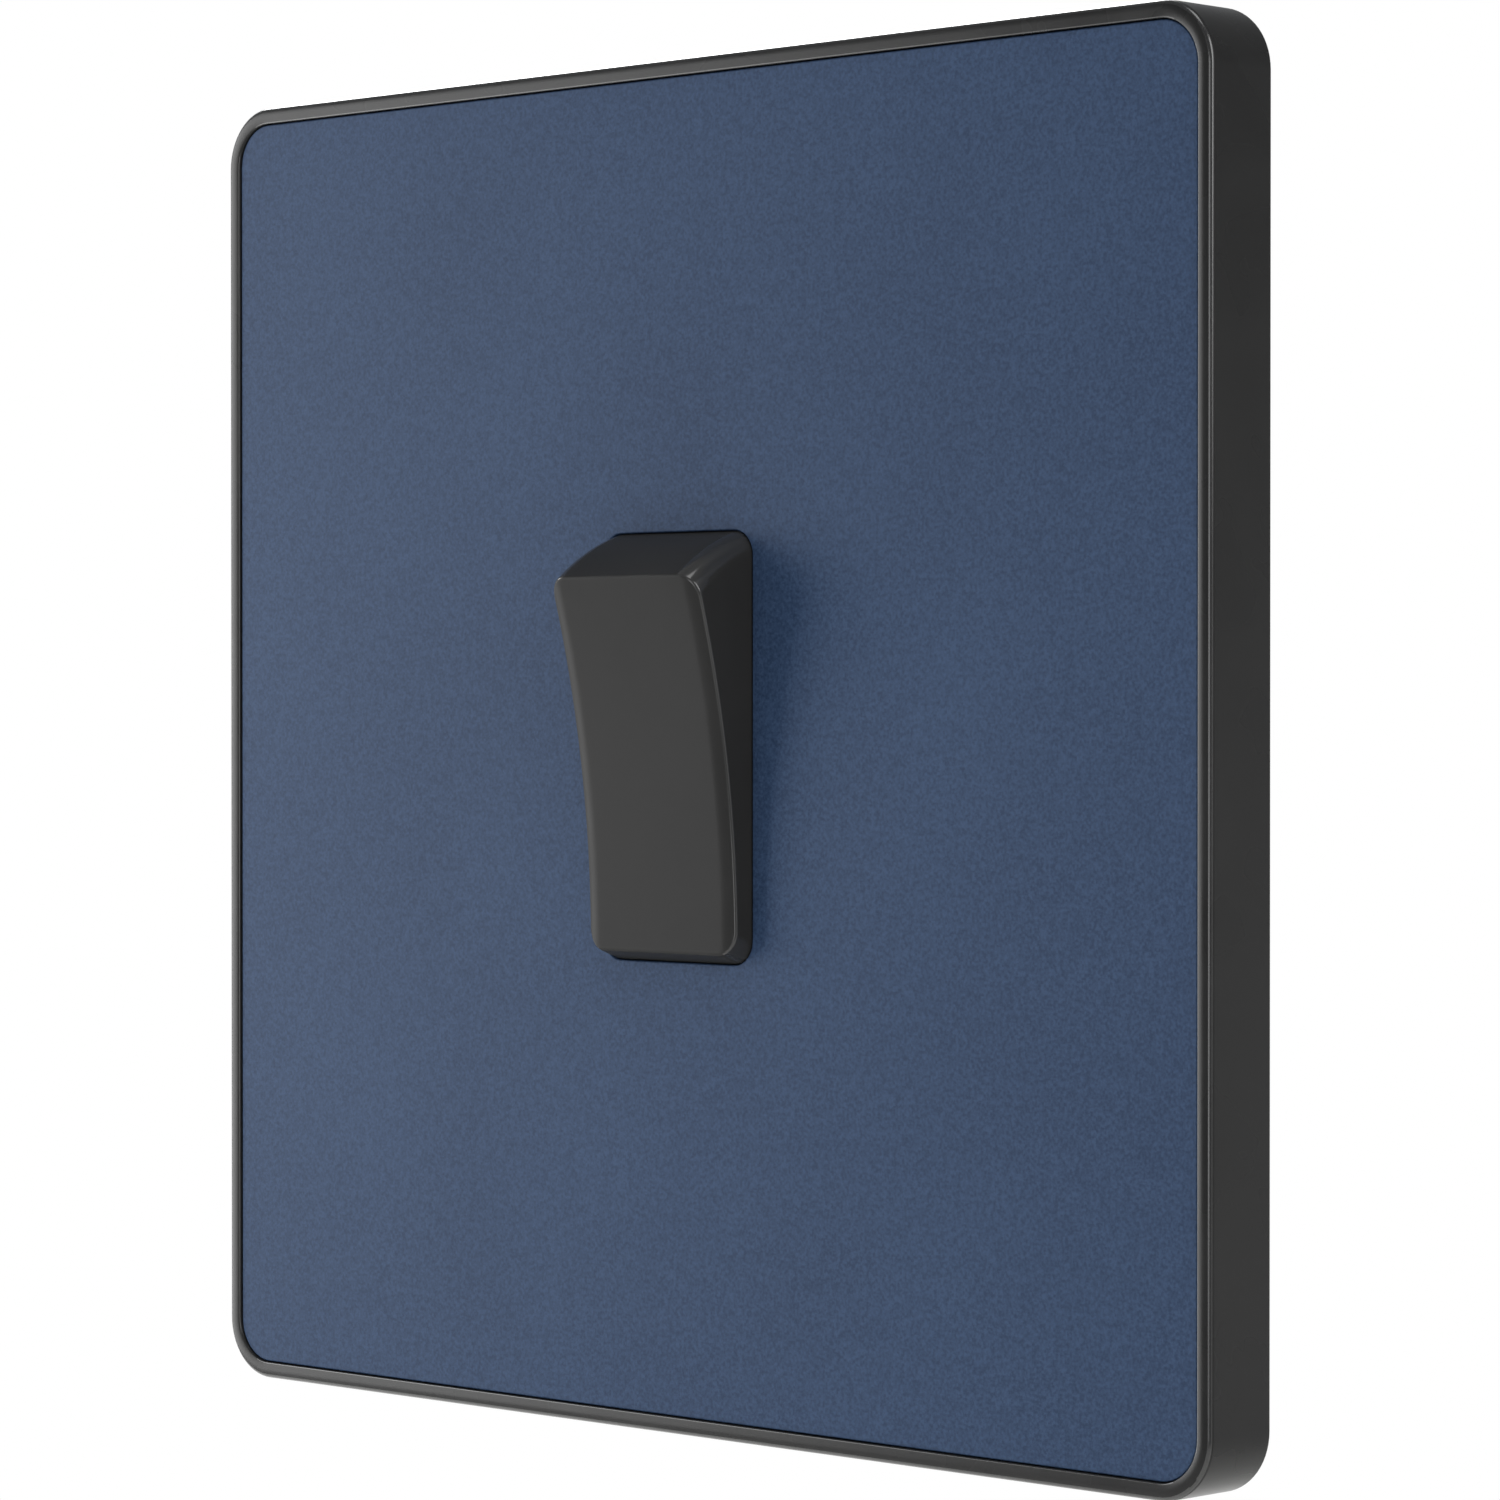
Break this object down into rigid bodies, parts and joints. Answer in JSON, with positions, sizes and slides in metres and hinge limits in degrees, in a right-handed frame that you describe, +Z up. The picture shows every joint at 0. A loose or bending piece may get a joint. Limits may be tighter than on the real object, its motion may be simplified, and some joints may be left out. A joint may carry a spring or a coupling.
{
  "type": "rocker wall switch",
  "caption": "Square flat wall plate with a black edge, a blue facia and a central black rocker that tilts about a cross axis and works a change-over contact.",
  "frame": {"origin": "centre of the plate on the wall plane, midway between the two fixing screws", "axes": "-Y is the front, +Y points into the wall, +Z is up, +X is to the right seen from the front"},
  "size_m": [0.095, 0.0341, 0.095],
  "materials": {
    "surround": "satin moulded",
    "facia_plate": "matt blue paint",
    "chassis_plate": "bright zinc plate",
    "facia_clips": "spring steel",
    "fixing_screws": "nickel plate",
    "rocker": "satin moulded",
    "plunger": "acetal",
    "plunger_spring": "music wire",
    "module_case": "satin moulded",
    "module_base": "moulded urea",
    "case_screws": "zinc plate",
    "line_one_terminal": "machined",
    "line_two_terminal": "machined",
    "common_terminal": "machined",
    "earth_terminal": "machined",
    "terminal_screws": "nickel plate",
    "earth_screw": "nickel plate",
    "earth_rivet": "bright",
    "line_one_strip": "rolled",
    "line_two_strip": "rolled",
    "common_cradle": "rolled",
    "contact_blade": "phosphor bronze, rolled",
    "moving_contact_tips": "silver alloy",
    "fixed_contact_tips": "silver alloy"
  },
  "bodies": {
    "chassis": {"chassis_plate": "chassis_plate", "facia_clips": "facia_clips", "fixing_screws": "fixing_screws", "module_case": "module_case", "module_base": "module_base", "case_screws": "case_screws", "line_one_terminal": "line_one_terminal", "line_two_terminal": "line_two_terminal", "common_terminal": "common_terminal", "earth_terminal": "earth_terminal", "terminal_screws": "terminal_screws", "earth_screw": "earth_screw", "earth_rivet": "earth_rivet", "line_one_strip": "line_one_strip", "line_two_strip": "line_two_strip", "common_cradle": "common_cradle", "fixed_contact_tips": "fixed_contact_tips"},
    "front_cover": {"surround": "surround", "facia_plate": "facia_plate"},
    "rocker": {"rocker": "rocker", "plunger_spring": "plunger_spring"},
    "plunger": {"plunger": "plunger"},
    "contact_blade": {"contact_blade": "contact_blade", "moving_contact_tips": "moving_contact_tips"}
  },
  "joints": [
    {"name": "rocker_tilt", "type": "hinge", "parent": "chassis", "child": "rocker", "pos_m": [0, -0.0015, 0], "axis": [1, 0, 0], "range_deg": [-17.2, 0]},
    {"name": "plunger_slide", "type": "slide", "parent": "rocker", "child": "plunger", "axis": [0, 0.9888, 0.1495], "range_m": [-0.0008, 0], "stiffness_N_per_m": 200, "springref_m": 0.002, "deforming": ["plunger_spring"]},
    {"name": "blade_rock", "type": "hinge", "parent": "chassis", "child": "contact_blade", "pos_m": [0, 0.0086, 0], "axis": [1, 0, 0], "range_deg": [0, 15.5]},
    {"name": "cover_pull", "type": "slide", "parent": "chassis", "child": "front_cover", "axis": [0, -1, 0], "range_m": [0, 0.012]}
  ],
  "couplings": [
    {"joint": "blade_rock", "follows": "rocker_tilt", "ratio": -0.9}
  ]
}
